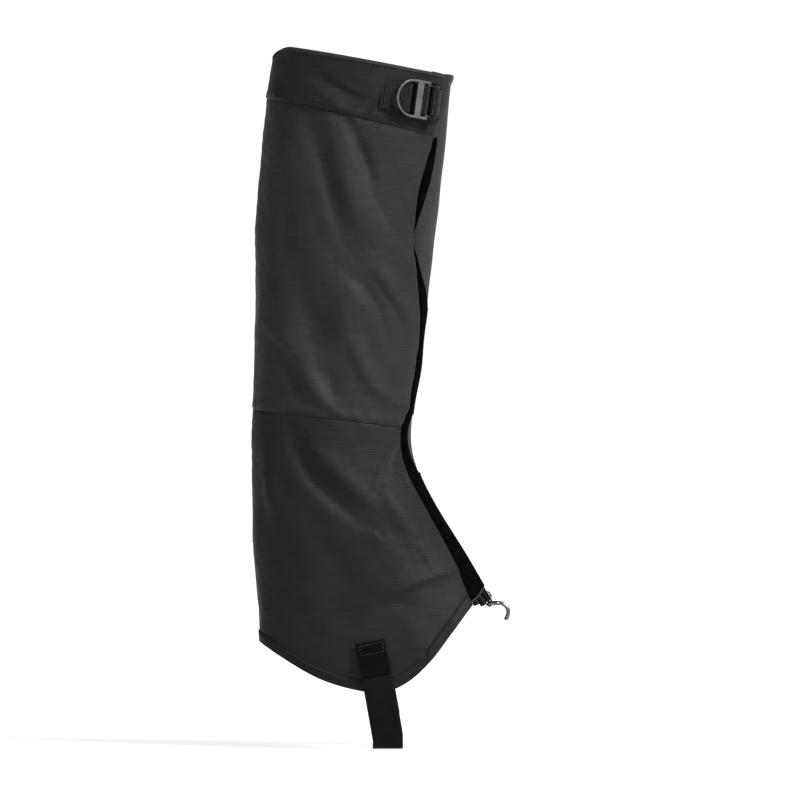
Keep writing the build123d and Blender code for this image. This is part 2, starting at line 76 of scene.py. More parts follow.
# The closure strip's front edge, in the same way
STRIP_INSETS = MM * np.array([
    (25, 0), (196, 0), (205, 1.5), (222, 3.2), (233, 2.6), (243, 0), (317, 0), (332, 2.9), (343, 7),
    (354, 10.3), (366, 13.6), (376, 14.2), (392, 12.2), (411, 8.9), (449, 6.8), (539, 7),
])
# The hem's lower edge from the side: x, height
HEM = MM * np.array([
    (-120, 93), (-93.4, 75.5), (-57.7, 53.3), (-24, 41.8), (0, 41), (22.6, 54), (62.8, 104), (110, 154),
])
RIM = (-76.7 * MM, 509 * MM, math.tan(math.radians(10.1)))
COLLAR_SEAM = (-76.7 * MM, 469 * MM, math.tan(math.radians(12.8)))
MID_SEAM = (-97 * MM, 245 * MM, math.tan(math.radians(6.6)))
HEM_BAND = 8.5 * MM
BINDING = 2.6 * MM
CLOTH = 0.7 * MM
FLAP_INNER_Y = 24 * MM
INNER_FRONT_Y = 14 * MM
FLAP_DROP = 2.5 * MM
FLAP_SHIFT = 1.7 * MM
LINING_DROP = 4.1 * MM
AROUND = 58 * MM
TURN = 2 * math.pi


# Curves and small helpers


def spline(knots, values, at):
    """A natural cubic through the knots, read at some places."""
    gap = np.diff(knots)
    rise = np.diff(values) / gap
    system = np.eye(len(knots))
    right = np.zeros(len(knots))
    for i in range(1, len(knots) - 1):
        system[i, i - 1:i + 2] = gap[i - 1], 2 * (gap[i - 1] + gap[i]), gap[i]
        right[i] = 6 * (rise[i] - rise[i - 1])
    bend = np.linalg.solve(system, right)
    i = np.clip(np.searchsorted(knots, at) - 1, 0, len(gap) - 1)
    over = at - knots[i]
    under = knots[i + 1] - at
    cubic = (bend[i] * under**3 + bend[i + 1] * over**3) / (6 * gap[i])
    low = (values[i] / gap[i] - bend[i] * gap[i] / 6) * under
    high = (values[i + 1] / gap[i] - bend[i + 1] * gap[i] / 6) * over
    return cubic + low + high


def ease(low, high, at):
    """0 up to low, 1 from high, smooth between."""
    share = np.clip((at - low) / (high - low), 0, 1)
    return share * share * (3 - 2 * share)


def leg_at(height):
    """The ellipse of the leg at a height: middle x, half depth, half width."""
    back, front, wide = (spline(SECTIONS[:, 0], SECTIONS[:, i], height) for i in (1, 2, 3))
    return (front + back) / 2, (front - back) / 2, wide


def skin(angle, height, out=0.0, shift=0.0):
    """Points round the leg. Angle 0 is the front, minus a quarter turn the outer side."""
    middle, deep, wide = leg_at(height)
    x = middle + (deep + out) * np.cos(angle)
    y = shift + (wide + out) * np.sin(angle)
    return np.stack(np.broadcast_arrays(x, y, height), -1)


def side_angle(x, height):
    """The angle of the outer side's point that is seen at x."""
    middle, deep, _ = leg_at(height)
    return -np.arccos(np.clip((x - middle) / deep, -1, 1))


def inset_angle(insets, height):
    """The angle of a line that lies some way behind the front line."""
    middle, deep, _ = leg_at(height)
    return side_angle(middle + deep - np.maximum(spline(insets[:, 0], insets[:, 1], height), 0), height)


def edge_angle(height):
    """The outer half's front edge."""
    return inset_angle(EDGE_INSETS, height)


def inner_angle(y):
    """A function of height: the angle at which the inner side reaches y."""
    return lambda height: np.arcsin(np.clip(y / leg_at(height)[2], -1, 1))


def sloped(line, rise=0.0):
    """A function of x: the height of a line that slopes down to the front; the rim sags at the back."""
    if line is RIM:
        return lambda x: line[1] + rise - line[2] * (x - line[0]) - rim_sag(x)
    return lambda x: line[1] + rise - line[2] * (x - line[0])


def rim_sag(x):
    """How far the rim sags towards its back corner."""
    return 8 * MM * np.clip((-72 * MM - x) / (13 * MM), 0, 1.1) ** 2


def hem(rise=0.0):
    """A function of x: the height of the hem."""
    return lambda x: spline(HEM[:, 0], HEM[:, 1], np.clip(x, HEM[0, 0], HEM[-1, 0])) + rise


# Folds of the cloth

# Each fold: how far it stands out, its half width, and the x and height of the points it runs through
OUTER_FOLDS = [
    (-3.6, 8, (-60, 446), (-51, 426), (-41, 402), (-27, 362)),
    (2.6, 9, (-43, 442), (-30, 408), (-13, 372)),
    (-3.8, 8, (-33, 455), (-20, 434), (-3, 408), (9, 380), (16, 362)),
    (1.8, 6, (-22, 448), (-9, 428), (4, 402)),
    (-1.6, 10, (-75, 398), (-73, 360)),
    (1.4, 10, (-80, 440), (-72, 400)),
    (-4.0, 15, (-62, 354), (-58, 306), (-50, 280)),
    (-3.2, 8, (-32, 349), (-12, 327), (1, 303), (6, 283), (8, 262)),
    (2.2, 7, (-10, 350), (3, 327), (16, 310)),
    (2.6, 13, (-35, 336), (-31, 296)),
    (2.8, 7, (-27, 291), (-12, 268), (6, 255), (15, 248)),
    (2.8, 7, (-84, 301), (-70, 287), (-58, 265), (-44, 251), (-28, 244)),
    (-2.2, 7, (-77, 282), (-65, 254)),
    (-2.0, 8, (-52, 275), (-36, 252)),
    (-2.8, 3.5, (8, 228), (-2, 204), (-9, 186)),
    (-1.8, 3.5, (6, 206), (14, 190)),
    (-4.2, 9, (-69, 229), (-57, 204), (-42, 182), (-22, 163)),
    (2.4, 8, (-50, 218), (-35, 198), (-18, 178)),
    (3.2, 14, (-2, 184), (6, 170), (18, 150)),
    (2.0, 10, (-85, 198), (-75, 166)),
    (-2.8, 19, (-40, 152), (-38, 120), (-34, 90)),
    (2.2, 5, (-4, 112), (17, 118), (50, 130)),
    (-2.0, 6, (0, 104), (18, 105), (46, 110)),
    (1.6, 8, (10, 84), (13, 62)),
    (1.4, 7, (-28, 90), (-30, 70)),
    (-1.6, 7, (-58, 488), (-40, 482), (-16, 468)),
    (1.4, 6, (-20, 486), (-8, 478)),
    (1.2, 8, (-66, 478), (-54, 466)),
    (2.0, 5, (-50, 474), (-36, 462), (-22, 452)),
    (-2.2, 4, (-24, 452), (-16, 462), (-6, 470)),
    (1.6, 4, (-30, 448), (-24, 458), (-12, 474)),
    (-1.6, 4, (-12, 446), (-4, 452), (4, 452)),
    (1.4, 4, (-44, 490), (-26, 478), (-10, 474)),
    (-1.4, 4, (-72, 466), (-60, 458), (-46, 456)),
    (-1.2, 4, (10, 452), (24, 456), (36, 456)),
    (1.0, 4, (14, 486), (28, 487), (40, 484)),
]
INNER_FOLDS = [
    (-3.0, 9, (-60, 446), (-42, 400), (-10, 350)),
    (2.2, 9, (10, 440), (-10, 404), (-30, 372)),
    (2.0, 12, (-74, 400), (-50, 300)),
    (-2.8, 11, (-10, 340), (-22, 300), (-40, 262)),
    (2.2, 9, (8, 320), (-8, 280), (-20, 256)),
    (-2.6, 7, (4, 226), (-8, 198), (-20, 170)),
    (2.4, 12, (-60, 226), (-50, 184), (-40, 140)),
    (-1.8, 7, (40, 130), (16, 116), (-10, 112)),
    (1.8, 10, (-10, 160), (10, 110)),
    (-2.0, 10, (-70, 180), (-62, 120)),
]


# How much higher and narrower the folds are than listed
SHARPER = 1.15
NARROWER = 0.85

# Places where something stiff is sewn on or lies on the cloth: x, height, radius
CALM = MM * np.array([(17, 470, 30), (-11, 64, 20)])


def waves(place, seed, size, count=10):
    """Soft random swells of about -1 to 1 through space, about one size long."""
    random = np.random.default_rng(seed)
    total = np.zeros(place.shape[:-1])
    for _ in range(count):
        way = random.normal(size=3)
        way *= TURN / size * random.uniform(0.6, 1.5) / np.linalg.norm(way)
        total += np.sin(place @ way + random.uniform(0, TURN))
    return total / math.sqrt(count) / 1.2


def fold_sum(u, v, table, side):
    """The folds of one side, each a soft ridge or valley along a curve."""
    total = np.zeros(u.shape)
    for high, wide, *route in table:
        route = MM * np.array(route)
        along = np.linspace(0, 1, len(route))
        share = np.linspace(0, 1, 25)
        x = spline(along, route[:, 0], share)
        z = spline(along, route[:, 1], share)
        line = np.stack([-side * AROUND * side_angle(x, z), z], -1)
        ahead = np.gradient(line, axis=0)
        ahead /= np.linalg.norm(ahead, axis=1, keepdims=True)
        spacing = np.linalg.norm(line[1] - line[0])
        nearest = np.full(u.shape, np.inf)
        profile = np.zeros(u.shape)
        for point, way, at in zip(line, ahead, share):
            du, dv = u - point[0], v - point[1]
            aside = dv * way[0] - du * way[1]
            beyond = du * way[0] + dv * way[1]
            place = np.clip(at + beyond / spacing * (share[1] - share[0]), 0, 1)
            past_end = np.maximum(np.abs(beyond) - spacing, 0)
            gap = np.hypot(aside, past_end)
            width = NARROWER * wide * MM * np.where(aside > 0, 1.3, 0.75)
            swell = np.sin(math.pi * (0.06 + 0.88 * place)) ** 0.6
            closer = np.hypot(du, dv) < nearest
            nearest = np.where(closer, np.hypot(du, dv), nearest)
            profile = np.where(closer, swell * np.exp(-(gap / width) ** 2), profile)
        total += SHARPER * high * MM * profile
    return total


def seam_out(angle, height, place):
    """The pinch, the turned-in cloth and the puckers along the two seams."""
    total = np.zeros(angle.shape)
    for line, seed in ((COLLAR_SEAM, 11), (MID_SEAM, 12)):
        over = height - sloped(line)(place[..., 0])
        total += -0.7 * MM * np.exp(-(over / (1.3 * MM)) ** 2)
        total += 0.35 * MM * np.exp(-((over - 4 * MM) / (2.6 * MM)) ** 2)
        pucker = waves(place, seed, 11 * MM)
        total += 0.4 * MM * pucker * np.exp(-np.abs(over) / (7 * MM))
    return total


def cloth_out(angle, height):
    """How far the outer cloth stands off the leg's smooth shape."""
    angle = np.where(angle < -math.pi, angle + TURN, angle)
    place = skin(angle, height)
    u = AROUND * angle + 4 * MM * waves(place, 3, 90 * MM)
    v = height + 4 * MM * waves(place, 4, 90 * MM)
    total = np.where(angle < 0, fold_sum(u, v, OUTER_FOLDS, -1), fold_sum(u, v, INNER_FOLDS, 1))
    total = total * ease(0.1, 0.7, np.abs(np.abs(angle) - math.pi))
    slanted = place + place[..., 2:] * np.array([0.4, 0.0, -0.4])
    total += 0.5 * MM * waves(slanted, 5, 30 * MM)
    total += 0.12 * MM * waves(place, 6, 11 * MM)
    total += seam_out(angle, height, place)
    from_edge = AROUND * np.abs(edge_angle(height) - angle)
    over_closure = 1 - ease(30 * MM, 46 * MM, from_edge)
    total += over_closure * (np.maximum(total, -0.9 * MM) - total)
    for x, z, radius in CALM:
        away = np.hypot(AROUND * (angle - side_angle(x, z)), height - z)
        total *= 1 - 0.9 * np.exp(-(away / radius) ** 4)
    return total


# Meshes


def make_object(name, points, faces, uv=None, closed=False):
    """A smooth mesh object from points and faces, with a UV per point if given."""
    mesh = bpy.data.meshes.new(name)
    mesh.from_pydata([tuple(p) for p in points], [], faces)
    if closed:
        work = bmesh.new()
        work.from_mesh(mesh)
        bmesh.ops.recalc_face_normals(work, faces=work.faces)
        work.to_mesh(mesh)
        work.free()
    mesh.polygons.foreach_set("use_smooth", [True] * len(mesh.polygons))
    if uv is not None:
        corner = np.zeros(len(mesh.loops), dtype=int)
        mesh.loops.foreach_get("vertex_index", corner)
        layer = mesh.uv_layers.new(name="cloth")
        layer.data.foreach_set("uv", uv[corner].ravel())
    mesh.update()
    obj = bpy.data.objects.new(name, mesh)
    bpy.context.scene.collection.objects.link(obj)
    return obj


def grid_faces(rows, columns, closed=False, flip=False):
    """Quads of a grid of points, its columns closed into a ring if asked."""
    last = columns if closed else columns - 1
    faces = []
    for r in range(rows - 1):
        for c in range(last):
            d = (c + 1) % columns
            quad = (r * columns + c, r * columns + d, (r + 1) * columns + d, (r + 1) * columns + c)
            faces.append(quad[::-1] if flip else quad)
    return faces


def wrap_grid(low, high, start, end, rows, columns):
    """Angles and heights of a grid between two height lines and two angle lines."""
    up = np.linspace(0, 1, rows)[:, None]
    along = np.linspace(0, 1, columns)[None, :]
    height = np.full((rows, columns), 0.3)
    for _ in range(40):
        first = start(height)
        angle = first + along * (end(height) - first)
        middle, deep, _ = leg_at(height)
        x = middle + deep * np.cos(angle)
        height = 0.5 * height + 0.5 * (low(x) * (1 - up) + high(x) * up)
    return angle, height


def around_to(y):
    """The inner front line reached by going round the back."""
    inner = inner_angle(y)
    return lambda height: inner(height) - TURN


def cloth_sheet(name, low, high, start, end, rows, columns, out, shift=0.0, thickness=CLOTH):
    """A sheet of cloth on the leg, its outer face at out(angle, height)."""
    angle, height = wrap_grid(low, high, start, end, rows, columns)
    points = skin(angle, height, out(angle, height), shift)
    uv = np.stack([AROUND * angle, height], -1)
    flip = angle[0, -1] < angle[0, 0]
    obj = make_object(name, points.reshape(-1, 3), grid_faces(rows, columns, flip=flip), uv.reshape(-1, 2))
    thicken = obj.modifiers.new("thickness", "SOLIDIFY")
    thicken.thickness = thickness
    thicken.offset = -1
    return obj


def cloth_normal(angle, height, out):
    """The outward normal of a cloth surface at some places."""
    tiny = 1e-4
    across = skin(angle + tiny, height, out(angle + tiny, height))
    across = across - skin(angle - tiny, height, out(angle - tiny, height))
    up = skin(angle, height + tiny, out(angle, height + tiny))
    up = up - skin(angle, height - tiny, out(angle, height - tiny))
    normal = np.cross(across, up)
    return normal / np.linalg.norm(normal, axis=-1, keepdims=True)


def line_on_cloth(line, start, end, count):
    """Angles and heights of a line round the leg, between two angle lines."""
    angle, height = wrap_grid(line, line, start, end, 2, count)
    return angle[0], height[0]


def along_path(points):
    """How far along a path each of its points lies."""
    return np.concatenate([[0], np.cumsum(np.linalg.norm(np.diff(points, axis=0), axis=1))])


def read_at(lengths, values, at):
    """Values given along a path, read at other places along it."""
    return np.stack([np.interp(at, lengths, values[:, i]) for i in range(3)], -1)


def stitches(name, points, normals, pitch=3.0 * MM, length=2.3 * MM, radius=0.26 * MM):
    """A row of thread stitches along a path on the cloth."""
    lengths = along_path(points)
    places = np.arange(pitch / 2, lengths[-1], pitch)
    centres = read_at(lengths, points, places)
    ups = read_at(lengths, normals, places)
    ways = read_at(lengths, points, places + pitch / 4) - read_at(lengths, points, places - pitch / 4)
    sides = 6
    stations = np.array([-1, -0.8, -0.35, 0.35, 0.8, 1]) * length / 2
    swell = np.array([0.2, 0.75, 1, 1, 0.75, 0.2]) * radius
    sink = np.array([-0.9, -0.35, 0, 0, -0.35, -0.9]) * radius
    turn = np.arange(sides) * TURN / sides
    verts = []
    faces = []
    for centre, up, way in zip(centres, ups, ways):
        way = way / np.linalg.norm(way)
        up = up / np.linalg.norm(up)
        side = np.cross(up, way)
        base = len(verts)
        for at, wide, low in zip(stations, swell, sink):
            middle = centre + way * at + up * (low + 0.1 * radius)
            for t in turn:
                verts.append(middle + side * (math.cos(t) * wide) + up * (math.sin(t) * wide * 0.8))
        rows = len(stations)
        faces += [tuple(base + i for i in quad) for quad in grid_faces(rows, sides, closed=True)]
        faces.append(tuple(base + i for i in range(sides))[::-1])
        faces.append(tuple(base + (rows - 1) * sides + i for i in range(sides)))
    return make_object(name, verts, faces, closed=True)


def sweep_strap(name, path, across, width, thickness, rib=0.0, rib_pitch=1.6 * MM, step=0.4 * MM, weave=0.0):
    """A flat strap along a path: across gives the width direction at each path point."""
    lengths = along_path(path)
    count = max(int(lengths[-1] / step), 4)
    at = np.linspace(0, lengths[-1], count)
    centre = smooth_path(read_at(lengths, path, at), 3)
    wide = read_at(lengths, across, at)
    ahead = np.gradient(centre, axis=0)
    ahead /= np.linalg.norm(ahead, axis=1, keepdims=True)
    wide -= ahead * np.sum(wide * ahead, axis=1, keepdims=True)
    wide /= np.linalg.norm(wide, axis=1, keepdims=True)
    up = np.cross(wide, ahead)
    profile = strap_profile(width, thickness)
    columns = len(profile)
    ripple = weave * np.cos(profile[:, 0] * TURN / (1.4 * MM))
    rows = []
    uv = []
    for i, place in enumerate(at):
        swell = 1 + rib * np.cos(TURN * place / rib_pitch + ripple)
        flat = profile * np.stack([np.ones(columns), swell], -1)
        if i in (0, count - 1):
            flat = flat * np.array([0.985, 0.45])
        rows.append(centre[i] + wide[i] * flat[:, :1] + up[i] * flat[:, 1:])
        uv.append(np.stack([profile[:, 0], np.full(columns, place)], -1))
    points = np.vstack(rows)
    faces = grid_faces(count, columns, closed=True)
    faces.append(tuple(range(columns))[::-1])
    faces.append(tuple((count - 1) * columns + i for i in range(columns)))
    return make_object(name, points, faces, np.vstack(uv), closed=True)


def smooth_path(points, times):
    """A path with its corners softened, its ends kept."""
    points = points.copy()
    for _ in range(times):
        points[1:-1] = (points[:-2] + 2 * points[1:-1] + points[2:]) / 4
    return points


def strap_profile(width, thickness, columns=30):
    """The outline of a strap's section, its edges round."""
    half = width / 2 - thickness / 2
    flat = np.linspace(-half, half, columns)
    turn = np.linspace(-math.pi / 2, math.pi / 2, 7)[1:-1]
    low = np.stack([flat, np.full(columns, -thickness / 2)], -1)
    right = np.stack([half + thickness / 2 * np.cos(turn), thickness / 2 * np.sin(turn)], -1)
    high = np.stack([flat[::-1], np.full(columns, thickness / 2)], -1)
    return np.vstack([low, right, high, right[::-1] * [-1, 1]])


# Materials


def new_material(name):
    """A material, its node tree and its main shader."""
    material = bpy.data.materials.new(name)
    material.use_nodes = True
    nodes = material.node_tree.nodes
    return material, nodes, material.node_tree.links, nodes["Principled BSDF"]


def value_node(nodes, links, operation, first, second=None):
    """A math node on sockets or numbers."""
    node = nodes.new("ShaderNodeMath")
    node.operation = operation
    for socket, value in zip(node.inputs, (first, second)):
        if value is None:
            continue
        if isinstance(value, (int, float)):
            socket.default_value = value
        else:
            links.new(value, socket)
    return node.outputs[0]


def noise_node(nodes, links, place, scale, detail=4.0, rough=0.5):
    """Noise over a place."""
    node = nodes.new("ShaderNodeTexNoise")
    node.inputs["Scale"].default_value = scale
    node.inputs["Detail"].default_value = detail
    node.inputs["Roughness"].default_value = rough
    links.new(place, node.inputs["Vector"])
    return node.outputs["Fac"]


def color_ramp(nodes, links, factor, low, high, low_color, high_color):
    """A colour between two, read from a factor."""
    ramp = nodes.new("ShaderNodeValToRGB")
    ramp.color_ramp.elements[0].position = low
    ramp.color_ramp.elements[1].position = high
    ramp.color_ramp.elements[0].color = (*low_color, 1)
    ramp.color_ramp.elements[1].color = (*high_color, 1)
    links.new(factor, ramp.inputs["Fac"])
    return ramp.outputs["Color"]


def range_node(nodes, links, factor, low, high):
    """A factor from 0 to 1 moved to a range."""
    node = nodes.new("ShaderNodeMapRange")
    node.inputs["To Min"].default_value = low
    node.inputs["To Max"].default_value = high
    links.new(factor, node.inputs["Value"])
    return node.outputs["Result"]


def bump_node(nodes, links, height, distance):
    """A bump of some real depth."""
    node = nodes.new("ShaderNodeBump")
    node.inputs["Strength"].default_value = 1.0
    node.inputs["Distance"].default_value = distance
    links.new(height, node.inputs["Height"])
    return node.outputs["Normal"]


def grey(value, blue):
    """A grey with its blue set apart."""
    return (value, value, blue)


def wave_node(nodes, links, place, pitch):
    """A sine wave of some pitch over one coordinate."""
    return value_node(nodes, links, "SINE", value_node(nodes, links, "MULTIPLY", place, TURN / pitch))


def woven(name, dark, light, rough, rib_pitch, yarn_pitch, relief, specular):
    """Woven cloth with ribs across it, on the piece's unrolled map."""
    material, nodes, links, shader = new_material(name)
    uv = nodes.new("ShaderNodeUVMap")
    uv.uv_map = "cloth"
    split = nodes.new("ShaderNodeSeparateXYZ")
    links.new(uv.outputs["UV"], split.inputs[0])
    rib = wave_node(nodes, links, split.outputs[1], rib_pitch)
    yarn = value_node(nodes, links, "MULTIPLY", wave_node(nodes, links, split.outputs[0], yarn_pitch), 0.35)
    blotch = noise_node(nodes, links, nodes.new("ShaderNodeTexCoord").outputs["Object"], 45.0)
    stretch = nodes.new("ShaderNodeMapping")
    stretch.inputs["Scale"].default_value = (60, 900, 1)
    links.new(uv.outputs["UV"], stretch.inputs["Vector"])
    slub = noise_node(nodes, links, stretch.outputs["Vector"], 1.0, 3.0)
    pattern = value_node(nodes, links, "ADD", value_node(nodes, links, "ADD", rib, yarn), slub)
    fine = range_node(nodes, links, rib, 0.0, 0.3)
    fine.node.inputs["From Min"].default_value = -1.0
    tone = value_node(nodes, links, "ADD", value_node(nodes, links, "MULTIPLY", slub, 0.6), fine)
    tone = value_node(nodes, links, "ADD", tone, value_node(nodes, links, "MULTIPLY", blotch, 0.4))
    links.new(color_ramp(nodes, links, tone, 0.25, 1.05, dark, light), shader.inputs["Base Color"])
    links.new(range_node(nodes, links, blotch, rough - 0.07, rough + 0.07), shader.inputs["Roughness"])
    links.new(bump_node(nodes, links, pattern, relief), shader.inputs["Normal"])
    shader.inputs["Specular IOR Level"].default_value = specular
    return material


def grained(name, dark, light, rough, metallic, grain, relief, specular=0.5):
    """A smooth material with a fine grain: metal, plastic, rubber or thread."""
    material, nodes, links, shader = new_material(name)
    place = nodes.new("ShaderNodeTexCoord").outputs["Object"]
    speck = noise_node(nodes, links, place, grain, 5.0, 0.6)
    cloud = noise_node(nodes, links, place, grain / 12, 2.0)
    links.new(color_ramp(nodes, links, cloud, 0.3, 0.7, dark, light), shader.inputs["Base Color"])
    links.new(range_node(nodes, links, speck, rough - 0.08, rough + 0.08), shader.inputs["Roughness"])
    links.new(bump_node(nodes, links, speck, relief), shader.inputs["Normal"])
    shader.inputs["Metallic"].default_value = metallic
    shader.inputs["Specular IOR Level"].default_value = specular
    return material


# The face cloth: roughness, rib pitch, yarn pitch, relief and gloss
RIBBED = (0.5, 1.6 * MM, 0.9 * MM, 0.05 * MM, 0.045)
nylon = woven("nylon", grey(0.0100, 0.0103), grey(0.0225, 0.023), *RIBBED)
lower_nylon = woven("lower_nylon", grey(0.0066, 0.0068), grey(0.0155, 0.0158), *RIBBED)
collar_nylon = woven("collar_nylon", grey(0.0068, 0.007), grey(0.0155, 0.0158), *RIBBED)
flap_nylon = woven("flap_nylon", grey(0.0125, 0.0128), grey(0.0245, 0.025), 0.5,
                   1.4 * MM, 0.9 * MM, 0.04 * MM, 0.05)
hem_nylon = woven("hem_nylon", grey(0.0055, 0.0057), grey(0.0125, 0.0128), *RIBBED)
inner_cloth = woven("inner_cloth", grey(0.016, 0.0165), grey(0.026, 0.027), 0.6,
                    1.2 * MM, 0.9 * MM, 0.03 * MM, 0.05)
webbing = woven("webbing", grey(0.0012, 0.0013), grey(0.0125, 0.013), 0.4,
                1.7 * MM, 0.8 * MM, 0.16 * MM, 0.07)
gloss_webbing = woven("gloss_webbing", grey(0.0010, 0.0010), grey(0.0025, 0.0026), 0.32,
                      1.4 * MM, 0.8 * MM, 0.03 * MM, 0.05)
closure = grained("closure", grey(0.0005, 0.0005), grey(0.0014, 0.0014), 0.9,
                  0.0, 2600.0, 0.25 * MM, 0.01)
rubber = grained("rubber", grey(0.0031, 0.0033), grey(0.0043, 0.0045), 0.5, 0.0, 1500.0, 0.03 * MM, 0.03)
thread = grained("thread", grey(0.008, 0.0083), grey(0.03, 0.031), 0.5, 0.0, 3000.0, 0.03 * MM, 0.08)
pale_thread = grained("pale_thread", grey(0.07, 0.073), grey(0.13, 0.135), 0.55, 0.0, 3000.0, 0.03 * MM, 0.1)
gunmetal = grained("gunmetal", grey(0.09, 0.094), grey(0.14, 0.144), 0.34, 0.9, 1800.0, 0.01 * MM, 0.4)
# Painted shade: a darker copy of the gunmetal for the lever's end over the pin and the ring's skirt, which
# lie in shadow
shade_painted_gunmetal = grained("shade_painted_gunmetal", grey(0.012, 0.0125), grey(0.02, 0.021), 0.42,
                        0.8, 1800.0, 0.01 * MM, 0.2)
black_metal = grained("black_metal", grey(0.006, 0.0063), grey(0.01, 0.0105), 0.5,
                      0.2, 1800.0, 0.01 * MM, 0.08)
steel = grained("steel", (0.11, 0.105, 0.095), (0.17, 0.16, 0.145), 0.28, 1.0, 1500.0, 0.01 * MM)
rivet_steel = grained("rivet_steel", (0.2, 0.195, 0.185), (0.28, 0.27, 0.26), 0.3, 1.0, 1500.0, 0.005 * MM)
plastic = grained("plastic", grey(0.004, 0.004), grey(0.007, 0.007), 0.42, 0.0, 1600.0, 0.02 * MM, 0.15)


def paint(obj, material):
    """Gives a piece one material."""
    obj.data.materials.clear()
    obj.data.materials.append(material)


# How pieces are painted and placed: baked in, or tied to one half


def across_fold(obj, material, *nodes, slot="cloth"):
    """A piece that runs through both halves: painted, its placement baked in, the nodes it stands for
    hidden.
    """
    paint(obj, material)
    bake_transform(obj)
    finish_piece(nodes)


def on_body(obj, material, body, *nodes, slot="cloth"):
    """A piece that moves with one body."""
    paint(obj, material)
    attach(obj, body)
    finish_piece(nodes)


def finish_piece(nodes):
    """Hides the nodes that a piece stands for."""
    if nodes:
        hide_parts(*nodes)


# The cloth

COLUMNS = 330


def collar_out(angle, height):
    """The collar's cloth, which lies over the upper panel's edge."""
    return cloth_out(angle, height) + 0.3 * MM


def lower_out(angle, height):
    """The lower panel's cloth, which goes in under the upper panel."""
    x = skin(angle, height)[..., 0]
    return cloth_out(angle, height) - 0.3 * MM * ease(-6 * MM, 0, height - sloped(MID_SEAM)(x))


inner_end = around_to(INNER_FRONT_Y)
collar = cloth_sheet("collar", sloped(COLLAR_SEAM, -0.6 * MM), sloped(RIM, -BINDING + 0.5 * MM),
                     edge_angle, inner_end, 34, COLUMNS, collar_out)
across_fold(collar, collar_nylon, "outer_collar", "inner_collar")
upper = cloth_sheet("upper_panel", sloped(MID_SEAM, -0.6 * MM), sloped(COLLAR_SEAM),
                    edge_angle, inner_end, 170, COLUMNS, cloth_out)
across_fold(upper, nylon, "outer_upper_panel", "inner_upper_panel")
lower = cloth_sheet("lower_panel", hem(HEM_BAND - 4.0 * MM), sloped(MID_SEAM),
                    edge_angle, inner_end, 130, COLUMNS, lower_out)
across_fold(lower, lower_nylon, "outer_lower_panel", "inner_lower_panel")


def edge_tape(name, line, profile, out, narrow=None):
    """A tape folded over an edge: profile gives how far out and how high each row lies."""
    angle, height = line_on_cloth(line, edge_angle, inner_end, COLUMNS)
    share = 1.0 if narrow is None else narrow(angle, height)
    outer = profile[0][0]
    base = out(angle, height)
    rows = [skin(angle, height + rise, base + outer - (outer - away) * share) for away, rise in profile]
    uv = [np.stack([AROUND * angle, np.full(COLUMNS, at)], -1) for at in along_path(np.array(profile))]
    obj = make_object(name, np.vstack(rows), grid_faces(len(profile), COLUMNS, flip=True), np.vstack(uv))
    thicken = obj.modifiers.new("thickness", "SOLIDIFY")
    thicken.thickness = 0.5 * MM
    thicken.offset = -1
    return obj


def rolled(outer, inner, outer_foot, inner_foot, edge, way):
    """The section of a tape rolled over an edge, from its outer foot round to its inner foot."""
    middle = (outer + inner) / 2
    reach = (outer - inner) / 2
    turn = np.linspace(0, math.pi, 13)
    arc = [(middle + reach * math.cos(t), edge + way * reach * math.sin(t)) for t in turn]
    outer_wall = [(outer, outer_foot), (outer, (outer_foot + edge) / 2)]
    inner_wall = [(inner, (inner_foot + edge) / 2), (inner, inner_foot)]
    return [*outer_wall, *arc, *inner_wall]


def thin_at_front(angle, height):
    """1 where the collar is lined, less near the opening where it is one layer."""
    from_edge = AROUND * (edge_angle(height) - angle)
    from_inner = AROUND * (angle - inner_end(height))
    return 0.36 + 0.64 * ease(18 * MM, 32 * MM, from_edge) * ease(14 * MM, 26 * MM, from_inner)


rim_section = rolled(0.45 * MM, -LINING_DROP - 0.5 * MM, 0, 0, 1.0 * MM, 0.75)
rim_tape = edge_tape("rim_binding", sloped(RIM, -BINDING), rim_section, collar_out, thin_at_front)
across_fold(rim_tape, flap_nylon, "outer_rim_binding", "inner_rim_binding", slot="binding")

hem_section = rolled(0.35 * MM, -1.2 * MM, HEM_BAND, 6 * MM, 0.8 * MM, -1)[::-1]
hem_tape = edge_tape("hem_band", hem(), hem_section, cloth_out)
across_fold(hem_tape, hem_nylon, "outer_hem_binding", "inner_hem_binding")


def behind_front_edge(distance):
    """A line some way behind the outer half's front edge."""
    return lambda height: edge_angle(height) - distance / AROUND


def lining_out(angle, height):
    """The inner wall of the collar's tunnel."""
    return collar_out(angle, height) - LINING_DROP


def behind_cloth(angle, height):
    """What is sewn to the cloth's back."""
    return cloth_out(angle, height) - CLOTH - 0.1 * MM


lining = cloth_sheet("collar_lining", sloped(COLLAR_SEAM, 1 * MM), sloped(RIM, -BINDING + 0.5 * MM),
                     behind_front_edge(32 * MM), around_to(36 * MM), 16, COLUMNS, lining_out,
                     thickness=0.5 * MM)
across_fold(lining, inner_cloth, "outer_collar_lining", "inner_collar_lining", slot="lining")
seam_tape = cloth_sheet("mid_seam_tape", sloped(MID_SEAM, -8 * MM), sloped(MID_SEAM, 8 * MM),
                        behind_front_edge(18 * MM), around_to(36 * MM), 13, COLUMNS, behind_cloth,
                        thickness=0.3 * MM)
across_fold(seam_tape, inner_cloth, "outer_mid_seam_tape", "inner_mid_seam_tape", slot="lining")

# The flap and the closure strips behind the opening


